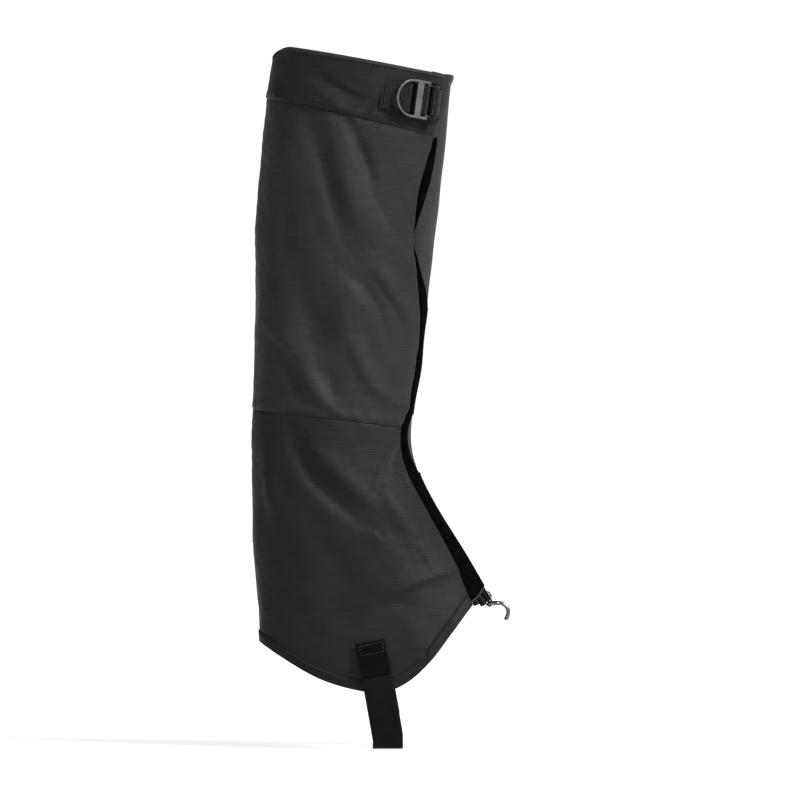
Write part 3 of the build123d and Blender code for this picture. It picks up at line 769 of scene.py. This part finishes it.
def flap_out(angle, height):
    """The flap lies under the outer half's edge and comes forward past it."""
    past_edge = AROUND * (angle - edge_angle(height))
    place = skin(angle, height)
    forward = ease(0, 8 * MM, past_edge) * (1 - ease(3 * MM, 12 * MM, place[..., 1]))
    from_top = sloped(RIM, 1.5 * MM)(place[..., 0]) - height
    fold = 1.3 * MM * (1 - ease(3 * MM, 7 * MM, from_top)) * ease(4 * MM, 9 * MM, past_edge)
    band = 0.5 * MM * (1 - ease(5.5 * MM, 7 * MM, past_edge)) * ease(0, 2 * MM, past_edge)
    groove = 1.3 * MM * np.exp(-((past_edge - 0.3 * MM) / (1.8 * MM)) ** 2)
    return -FLAP_DROP + 2.4 * MM * forward + fold + band - groove + 0.25 * MM * waves(place, 21, 40 * MM)


def strip_out(angle, height):
    """The loop strip's face, on the flap."""
    return flap_out(angle, height) + 0.95 * MM


def strip_front(height):
    """The loop strip's front edge, which wanders round the leg's front line."""
    bare = np.interp(height, STRIP_INSETS[:, 0], STRIP_INSETS[:, 1])
    return np.where(bare > 0.3 * MM, inset_angle(STRIP_INSETS, height), 3 * MM / AROUND)


flap = cloth_sheet("front_flap", hem(1 * MM), sloped(RIM, 1.5 * MM), behind_front_edge(14 * MM),
                   inner_angle(FLAP_INNER_Y), 330, 60, flap_out, FLAP_SHIFT)
on_body(flap, flap_nylon, "inner_half", "front_flap")
loop_strip = cloth_sheet("loop_strip", hem(4 * MM), sloped(COLLAR_SEAM, -1 * MM), behind_front_edge(11 * MM),
                         strip_front, 400, 28, strip_out, FLAP_SHIFT, 0.8 * MM)
on_body(loop_strip, closure, "inner_half", "loop_strip", slot="closure")
hook_strip = cloth_sheet("hook_strip", hem(11 * MM), sloped(COLLAR_SEAM, -1 * MM),
                         behind_front_edge(13 * MM), behind_front_edge(0.8 * MM), 300, 12, behind_cloth,
                         thickness=0.7 * MM)
on_body(hook_strip, closure, "outer_half", "hook_strip", slot="closure")


# The lever buckle and its straps

WEBBING_WIDTH = 22 * MM
WEBBING = 1 * MM
BUCKLE_X = 17.8 * MM
BUCKLE_BELOW_RIM = 22.2 * MM
PIN_X = 15.1 * MM
PIN_Z = 6.05 * MM
STRAP_MID = 3.05 * MM
SLOT_X = -23.2 * MM


class Place:
    """A local frame: x along a strap, y across it, z outwards."""

    def __init__(self, origin, x_dir, y_dir, z_dir):
        self.origin = np.array(origin)
        self.axes = np.array([x_dir, y_dir, z_dir])

    def at(self, x, y, z):
        """The world point of a local one."""
        return self.origin + np.array([x, y, z]) @ self.axes

    def skin_height(self, x):
        """How high the leg's surface lies over a point of the x axis."""
        low, high = -60 * MM, 10 * MM
        for _ in range(40):
            middle = (low + high) / 2
            point = self.at(x, 0.0, middle)
            centre, deep, wide = leg_at(point[2])
            outside = math.hypot((point[0] - centre) / deep, point[1] / wide) > 1
            low, high = (low, middle) if outside else (middle, high)
        return middle


def unit(vector):
    """The vector at length 1."""
    return np.array(vector) / np.linalg.norm(vector)


def joint_of(name):
    """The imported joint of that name."""
    return next(joint for joint in frame["joints"] if joint["name"] == name)


def smooth_leg(angle, height):
    """The leg without any cloth over it."""
    return np.zeros(np.shape(angle))


def buckle_place():
    """The buckle's own frame, from its pin and the leg under it."""
    pin = joint_of("lever_pivot")
    height = sloped(RIM, -BUCKLE_BELOW_RIM)(BUCKLE_X)
    outwards = cloth_normal(side_angle(BUCKLE_X, height), np.float64(height), smooth_leg)
    y_dir = unit(pin["axis"])
    z_dir = unit(outwards - y_dir * np.dot(outwards, y_dir))
    x_dir = np.cross(y_dir, z_dir)
    origin = np.array(pin["pos_m"]) - PIN_X * x_dir - PIN_Z * z_dir
    return Place(origin, x_dir, y_dir, z_dir)


buckle = buckle_place()


def strap_in(place, name, route, width=WEBBING_WIDTH, **options):
    """A strap whose route is given as x and z in a local frame."""
    path = np.array([place.at(x, 0, z) for x, z in route])
    across = np.array([place.axes[1]] * len(path))
    return sweep_strap(name, path, across, width, WEBBING, **options)


def over_leg(place, x, lift):
    """A route point some way over the leg's surface."""
    return (x, place.skin_height(x) + lift)


def down_the_leg(place, table):
    """Route points over the leg's surface, from x and lift in millimetres."""
    return [over_leg(place, x * MM, lift * MM) for x, lift in table]


RIBS = {"rib": 0.24, "rib_pitch": 1.7 * MM, "weave": 0.5}
REAR_BAR = -6.3 * MM
PLATE_MID = 1.75 * MM
anchor_route = [
    over_leg(buckle, SLOT_X - 10 * MM, -2.4 * MM),
    over_leg(buckle, SLOT_X - 3 * MM, -2.0 * MM),
    over_leg(buckle, SLOT_X + 1 * MM, 0.8 * MM),
    over_leg(buckle, -19.6 * MM, 2.0 * MM),
    (-13 * MM, PLATE_MID + 0.2 * MM),
    (REAR_BAR - 3.4 * MM, PLATE_MID + 2.0 * MM),
    (REAR_BAR - 0.8 * MM, PLATE_MID + 3.6 * MM),
    (REAR_BAR + 1.8 * MM, PLATE_MID + 3.3 * MM),
    (REAR_BAR + 3.3 * MM, PLATE_MID + 1.6 * MM),
    (REAR_BAR + 2.8 * MM, PLATE_MID - 0.5 * MM),
    (REAR_BAR + 0.9 * MM, PLATE_MID - 1.25 * MM),
    (REAR_BAR - 3.5 * MM, PLATE_MID - 1.3 * MM),
]
anchor = strap_in(buckle, "buckle_anchor_webbing", anchor_route, **RIBS)
on_body(anchor, webbing, "outer_half", "buckle_anchor_webbing", slot="webbing")

# The strap's sewn loop runs over the lever's barrel, then down past the collar's front edge
BARREL_LOOP = 2.9 * MM
LOOP_WIDTH = 21.2 * MM
loop_turn = np.radians([185, 160, 130, 100, 70, 40, 12])
over_barrel = [(PIN_X + BARREL_LOOP * math.cos(t), PIN_Z + BARREL_LOOP * math.sin(t)) for t in loop_turn]
loop_route = [
    (12.8 * MM, 4.6 * MM),
    *over_barrel,
    (19.3 * MM, 5.2 * MM),
    (21.5 * MM, 4.0 * MM),
    *down_the_leg(buckle, [(24.5, 4.4), (27, 2.6), (29, 0.3), (31, -2.4), (34, -3.0)]),
]
cinch_route = [
    (-1.5 * MM, STRAP_MID),
    (4.4 * MM, STRAP_MID),
    (6.0 * MM, STRAP_MID + 1.4 * MM),
    (8.0 * MM, STRAP_MID + 3.4 * MM),
    (9.8 * MM, STRAP_MID + 3.2 * MM),
    (11.2 * MM, STRAP_MID + 1.2 * MM),
    (12.6 * MM, STRAP_MID),
    (15 * MM, STRAP_MID - 0.1 * MM),
    (20 * MM, STRAP_MID - 0.3 * MM),
    *down_the_leg(buckle, [(25, 2.4), (28, 0.6), (30, -2.0), (33, -3.4)]),
]
cinch = strap_in(buckle, "cinch_strap", cinch_route, **RIBS)
across_fold(cinch, webbing, "cinch_strap", slot="webbing")
cinch_loop = strap_in(buckle, "cinch_loop", loop_route, width=LOOP_WIDTH, **RIBS)
across_fold(cinch_loop, webbing, "cinch_strap", slot="webbing")
welt_height = buckle.skin_height(SLOT_X) + 0.35 * MM
welt_y = np.linspace(-11.5 * MM, 11.5 * MM, 12)
welt_path = np.array([buckle.at(SLOT_X - 0.6 * MM, y, welt_height) for y in welt_y])
welt = sweep_strap("slot_welt", welt_path, np.array([buckle.axes[0]] * len(welt_y)), 2 * MM, 0.9 * MM)
on_body(welt, hem_nylon, "outer_half", slot="cloth")


def bar_tack(name, place, back, front, half_width, lift):
    """A zigzag of thread across a strap, between two lines."""
    count = 26
    across = np.linspace(-half_width, half_width, count)
    along = np.where(np.arange(count) % 2 == 0, back, front)
    points = np.array([place.at(x, y, lift(x)) for x, y in zip(along, across)])
    normals = np.array([place.axes[2]] * count)
    return stitches(name, points, normals, pitch=1.5 * MM, length=1.7 * MM, radius=0.2 * MM)


def loop_height(x):
    """The height of the sewn loop's face along it."""
    ahead = np.array(loop_route[5:])
    return float(np.interp(x, ahead[:, 0], ahead[:, 1])) + 0.75 * MM


tack = bar_tack("cinch_bar_tack", buckle, 18.4 * MM, 22.4 * MM, 9.4 * MM, loop_height)
across_fold(tack, pale_thread, slot="webbing")

# The instep strap, its tabs and its adjuster

STRAP = 1.2 * MM
STRAP_LIFT = 1.2 * MM
TAB_RIBS = {"rib": 0.12, "rib_pitch": 1.4 * MM, "weave": 0.9}
STRAP_LEAN = math.radians(10.6)
TAB_BOTTOM = 53 * MM
TAB_LENGTH = 24.4 * MM
SOLE_HALF = 36 * MM
BEND = 7 * MM
KNEE = -16 * MM
ADJUSTER_RISE = 9 * MM
ADJUSTER_LIFT = 5.35 * MM
GRIP_Y = ADJUSTER_RISE - 13.2 * MM
GRIP_REACH = 3.1 * MM


def strap_place(side):
    """The frame of the strap's upright run: x up it, z outwards."""
    x = -math.tan(STRAP_LEAN) * TAB_BOTTOM * 0.85
    origin = skin(-side * side_angle(x, TAB_BOTTOM), np.float64(TAB_BOTTOM))
    up = np.array([-math.sin(STRAP_LEAN), 0, math.cos(STRAP_LEAN)])
    out = np.array([0, side, 0])
    return Place(origin, up, np.cross(out, up), out)


outer_place = strap_place(-1)
inner_place = strap_place(1)


outer_tab_route = [
    over_leg(outer_place, TAB_LENGTH, 1.0 * MM),
    over_leg(outer_place, 20 * MM, 1.1 * MM),
    over_leg(outer_place, 14 * MM, 2.2 * MM),
    (8 * MM, 3.3 * MM),
    (1 * MM, 3.5 * MM),
    (-0.3 * MM, 2.9 * MM),
    (1 * MM, 2.3 * MM),
    (9 * MM, 2.2 * MM),
]
outer_tab = strap_in(outer_place, "outer_instep_tab", outer_tab_route, **TAB_RIBS)
on_body(outer_tab, gloss_webbing, "outer_half", "outer_instep_tab", slot="webbing")

TAB_LOOP = 2.45 * MM
half_turn = np.linspace(0, math.pi, 9)
round_bar = [
    (ADJUSTER_RISE - TAB_LOOP * math.sin(t), ADJUSTER_LIFT + TAB_LOOP * math.cos(t)) for t in half_turn
]
inner_tab_route = [
    over_leg(inner_place, 33 * MM, 1.0 * MM),
    over_leg(inner_place, 22 * MM, 1.1 * MM),
    (15 * MM, 4.6 * MM),
    (11.5 * MM, 7.4 * MM),
    *round_bar,
    (14 * MM, 2.4 * MM),
    over_leg(inner_place, 22 * MM, 0.6 * MM),
]
inner_tab = strap_in(inner_place, "inner_instep_tab", inner_tab_route, **TAB_RIBS)
on_body(inner_tab, gloss_webbing, "inner_half", "inner_instep_tab", slot="webbing")


def instep_route():
    """The strap from the outer tab, down, under the sole, up and round the adjuster's lower bar."""
    centre = BEND + STRAP / 2
    bend = np.radians(np.linspace(78, 0, 8))
    foot = [(0, -SOLE_HALF - centre * math.sin(t), BEND - centre * math.cos(t)) for t in bend]
    upper_end = ((9 * MM, 0.0), (0, 0.2 * MM), (KNEE, 0.6 * MM))
    points = [outer_place.at(x, 0, STRAP_LIFT + z) for x, z in upper_end]
    points += foot
    points += [(0, -y, z) for _, y, z in foot[::-1]]
    low = ADJUSTER_LIFT - GRIP_REACH
    points += [inner_place.at(x, 0, low) for x in (KNEE, GRIP_Y - 3 * MM)]
    for t in np.linspace(-math.pi / 2, math.pi / 2, 9):
        x = GRIP_Y + GRIP_REACH * math.cos(t)
        points.append(inner_place.at(x, 0, ADJUSTER_LIFT + GRIP_REACH * math.sin(t)))
    high = ADJUSTER_LIFT + GRIP_REACH
    points += [inner_place.at(GRIP_Y - drop, 0, high) for drop in (12 * MM, 30 * MM)]
    return np.array(points)


route = instep_route()
widths = []
for point in route:
    leaning = ease(4 * MM, 30 * MM, np.float64(point[2]))
    widths.append(unit((1 - leaning) * np.array([1, 0, 0]) - leaning * outer_place.axes[1]))
strap = sweep_strap("instep_strap", route, np.array(widths), WEBBING_WIDTH, STRAP,
                    rib=0.03, rib_pitch=1.2 * MM, step=0.6 * MM)
across_fold(strap, rubber, "instep_strap", slot="strap_rubber")


def strap_box(name, place, low, high, half, lift):
    """A box of stitches on a strap."""
    corners = [(low, -half), (low, half), (high, half), (high, -half), (low, -half)]
    points = []
    for (x0, y0), (x1, y1) in zip(corners, corners[1:]):
        for t in np.linspace(0, 1, 12):
            x, y = x0 + (x1 - x0) * t, y0 + (y1 - y0) * t
            points.append(place.at(x, y, lift(x)))
    normals = np.array([place.axes[2]] * len(points))
    return stitches(name, np.array(points), normals, pitch=2.2 * MM, length=1.8 * MM, radius=0.22 * MM)


def outer_tab_face(x):
    """The height of the outer tab's face along it."""
    lift = np.interp(x, [14 * MM, 20 * MM], [2.2 * MM, 1.1 * MM])
    return outer_place.skin_height(x) + float(lift) + 0.55 * MM


def inner_tab_face(x):
    """The height of the inner tab's face along it."""
    return inner_place.skin_height(x) + 1.62 * MM


outer_box = strap_box("outer_tab_stitches", outer_place, 15.5 * MM, 22.5 * MM, 8.5 * MM, outer_tab_face)
on_body(outer_box, thread, "outer_half", slot="webbing")
inner_box = strap_box("inner_tab_stitches", inner_place, 24 * MM, 31 * MM, 8.5 * MM, inner_tab_face)
on_body(inner_box, thread, "inner_half", slot="webbing")

# The lace hook's tab

FRONT_LEAN = unit([0.509, 0, -0.861])
HOOK_RIBS = {"rib": 0.15, "rib_pitch": 1.3 * MM, "weave": 0.8}
WRAP = 2.15 * MM
# The tab's folded cloth: name, start, end, height, width, thickness
TAB_FOLDS = [
    ("hook_tab_filler", -17, -1.55, 0, 11.8, 3.9),
    ("hook_tab_under_fold", -24, -0.6, -4.2, 14, 4.6),
    ("hook_tab_lowest_fold", -24, -3.4, -8.2, 14, 4.8),
]
hook_place = Place(joint_of("hook_swing")["pos_m"], FRONT_LEAN, [0, 1, 0], [0.861, 0, 0.509])


def hook_tab_strap(name, route, width, thickness):
    """A stretch of the hook's tab along a route given as x and z."""
    path = np.array([hook_place.at(x, 0, z) for x, z in route])
    across = np.array([[0.0, 1.0, 0.0]] * len(path))
    strap = sweep_strap(name, path, across, width, thickness, **HOOK_RIBS)
    on_body(strap, webbing, "inner_half", "lace_hook_tab", slot="webbing")


round_wire = [(WRAP * math.sin(t), WRAP * math.cos(t)) for t in half_turn]
tab_route = [(-18 * MM, WRAP), (-9 * MM, WRAP), *round_wire, (-8 * MM, -WRAP)]
hook_tab_strap("lace_hook_tab", tab_route, 12 * MM, 1.1 * MM)
for name, start, end, height, width, thickness in TAB_FOLDS:
    fold_route = [(x * MM, height * MM) for x in np.linspace(start, end, 8)]
    hook_tab_strap(name, fold_route, width * MM, thickness * MM)

# Rows of stitches on the cloth


def row_on_cloth(name, angle, height, out, lift):
    """A row of stitches through some places on the cloth."""

    def surface(a, h):
        return out(a, h) + lift

    points = skin(angle, height, surface(angle, height))
    return stitches(name, points, cloth_normal(angle, height, surface))


def seam_stitches(name, line, out, lift):
    """A row of stitches along a line round the leg."""
    angle, height = line_on_cloth(line, behind_front_edge(2 * MM), inner_end, 700)
    across_fold(row_on_cloth(name, angle, height, out, lift), thread)


def edge_stitches(name, behind, low, high, out, lift):
    """A row of stitches down the outer half's front edge."""
    height = np.linspace(low, high, 700)
    angle = edge_angle(height) - behind / AROUND
    on_body(row_on_cloth(name, angle, height, out, lift), thread, "outer_half")


seam_stitches("rim_stitches", sloped(RIM, -3.4 * MM), collar_out, 0.05 * MM)
seam_stitches("collar_seam_stitches_low", sloped(COLLAR_SEAM, 1.8 * MM), collar_out, 0.05 * MM)
seam_stitches("collar_seam_stitches_high", sloped(COLLAR_SEAM, 5.4 * MM), collar_out, 0.05 * MM)
seam_stitches("mid_seam_stitches", sloped(MID_SEAM, 2.4 * MM), cloth_out, 0.05 * MM)
seam_stitches("hem_stitches", hem(HEM_BAND - 1.5 * MM), cloth_out, 0.4 * MM)
edge_stitches("front_edge_stitches", 3 * MM, 118 * MM, 448 * MM, cloth_out, 0.05 * MM)

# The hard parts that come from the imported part

RING_X = -3.5 * MM
RING_RADIUS = 12.9 * MM
SKIRT_Z = 4.3 * MM
SKIRT_RADIUS = 0.85 * MM
EARS_FROM = 9.6 * MM


def soften(node, material, width):
    """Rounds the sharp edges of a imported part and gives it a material."""
    obj = frame["nodes"][node]
    weld = obj.modifiers.new("weld", "WELD")
    weld.merge_threshold = 1e-6
    bevel = obj.modifiers.new("round_edges", "BEVEL")
    bevel.width = width
    bevel.segments = 3
    bevel.limit_method = "ANGLE"
    bevel.angle_limit = math.radians(38)
    paint(obj, material)


def paint_shade_on_ears(lever):
    """Paints shade on the lever's end over the pin: its faces take the darker copy of the gunmetal, standing
    for shadow there.
    """
    lever.data.materials.append(shade_painted_gunmetal)
    for face in lever.data.polygons:
        centre = lever.matrix_world @ face.center
        along = (np.array(centre) - buckle.origin) @ buckle.axes[0]
        face.material_index = int(along > EARS_FROM)


def ring_skirt():
    """A tube round the ring for its depth, coloured dark: painted shade for the ring's side in shadow."""
    turn = np.radians(np.linspace(82, 278, 60))
    curve = bpy.data.curves.new("ring_skirt", "CURVE")
    curve.dimensions = "3D"
    curve.bevel_depth = SKIRT_RADIUS
    curve.bevel_resolution = 4
    curve.use_fill_caps = True
    run = curve.splines.new("POLY")
    run.points.add(len(turn) - 1)
    for point, t in zip(run.points, turn):
        place = buckle.at(RING_X + RING_RADIUS * math.cos(t), RING_RADIUS * math.sin(t), SKIRT_Z)
        point.co = (*place, 1)
    obj = bpy.data.objects.new("ring_skirt", curve)
    bpy.context.scene.collection.objects.link(obj)
    return obj


soften("buckle_lever", gunmetal, 0.5 * MM)
# The lever's end over the pin gets painted shade
paint_shade_on_ears(frame["nodes"]["buckle_lever"])
# The ring's skirt carries painted shade
on_body(ring_skirt(), shade_painted_gunmetal, "buckle_lever", slot="buckle_metal")
soften("buckle_base", black_metal, 0.25 * MM)
soften("lever_pin", black_metal, 0.15 * MM)
soften("instep_adjuster", plastic, 0.4 * MM)
paint(frame["nodes"]["lace_hook"], steel)
paint(frame["nodes"]["lace_hook_rivet"], rivet_steel)

# Studio

CAMERA_AWAY = 6.0
VIEW_WIDTH = 0.584
AIM = Vector((0.00876, 0, 0.25185))


def make_stage():
    """A wide pale floor."""
    reach = 14.0
    floor = -1.9 * MM
    verts = [(-reach, -reach, floor), (reach, -reach, floor), (reach, reach, floor), (-reach, reach, floor)]
    stage = make_object("floor", verts, [(0, 1, 2, 3)])
    material, _, _, shader = new_material("floor_white")
    shader.inputs["Base Color"].default_value = (0.3, 0.3, 0.3, 1)
    shader.inputs["Emission Color"].default_value = (1, 1, 1, 1)
    shader.inputs["Emission Strength"].default_value = 0.8
    shader.inputs["Roughness"].default_value = 0.9
    shader.inputs["Specular IOR Level"].default_value = 0.1
    paint(stage, material)


def soft_sun(name, place, angle, power):
    """A wide soft lamp that shines from a direction."""
    lamp = bpy.data.lights.new(name, "SUN")
    lamp.angle = math.radians(angle)
    lamp.energy = power
    obj = bpy.data.objects.new(name, lamp)
    obj.rotation_euler = Vector(place).to_track_quat("Z", "Y").to_euler()
    bpy.context.scene.collection.objects.link(obj)


def make_world():
    """Bright round the horizon, dim overhead."""
    world = bpy.data.worlds.new("studio")
    world.use_nodes = True
    nodes, links = world.node_tree.nodes, world.node_tree.links
    split = nodes.new("ShaderNodeSeparateXYZ")
    links.new(nodes.new("ShaderNodeTexCoord").outputs["Generated"], split.inputs[0])
    height = value_node(nodes, links, "ABSOLUTE", split.outputs[2])
    ramp = color_ramp(nodes, links, height, 0.05, 0.14, (1.05, 1.05, 1.05), (0.16, 0.16, 0.16))
    links.new(ramp, nodes["Background"].inputs["Color"])
    bpy.context.scene.world = world


def make_camera():
    """A level camera far to the outer side."""
    lens = bpy.data.cameras.new("camera")
    lens.sensor_width = 36
    lens.lens = 36 * CAMERA_AWAY / VIEW_WIDTH
    lens.clip_end = 50
    camera = bpy.data.objects.new("camera", lens)
    camera.location = AIM + Vector((0, -CAMERA_AWAY, 0))
    camera.rotation_euler = (math.pi / 2, 0, 0)
    bpy.context.scene.collection.objects.link(camera)
    bpy.context.scene.camera = camera


make_stage()
make_camera()
soft_sun("key", (1.35, -1.0, 1.35), 24, 7.2)
soft_sun("fill", (-1.3, -1.2, 0.7), 50, 0.9)
make_world()
bpy.context.scene.view_settings.view_transform = "Standard"
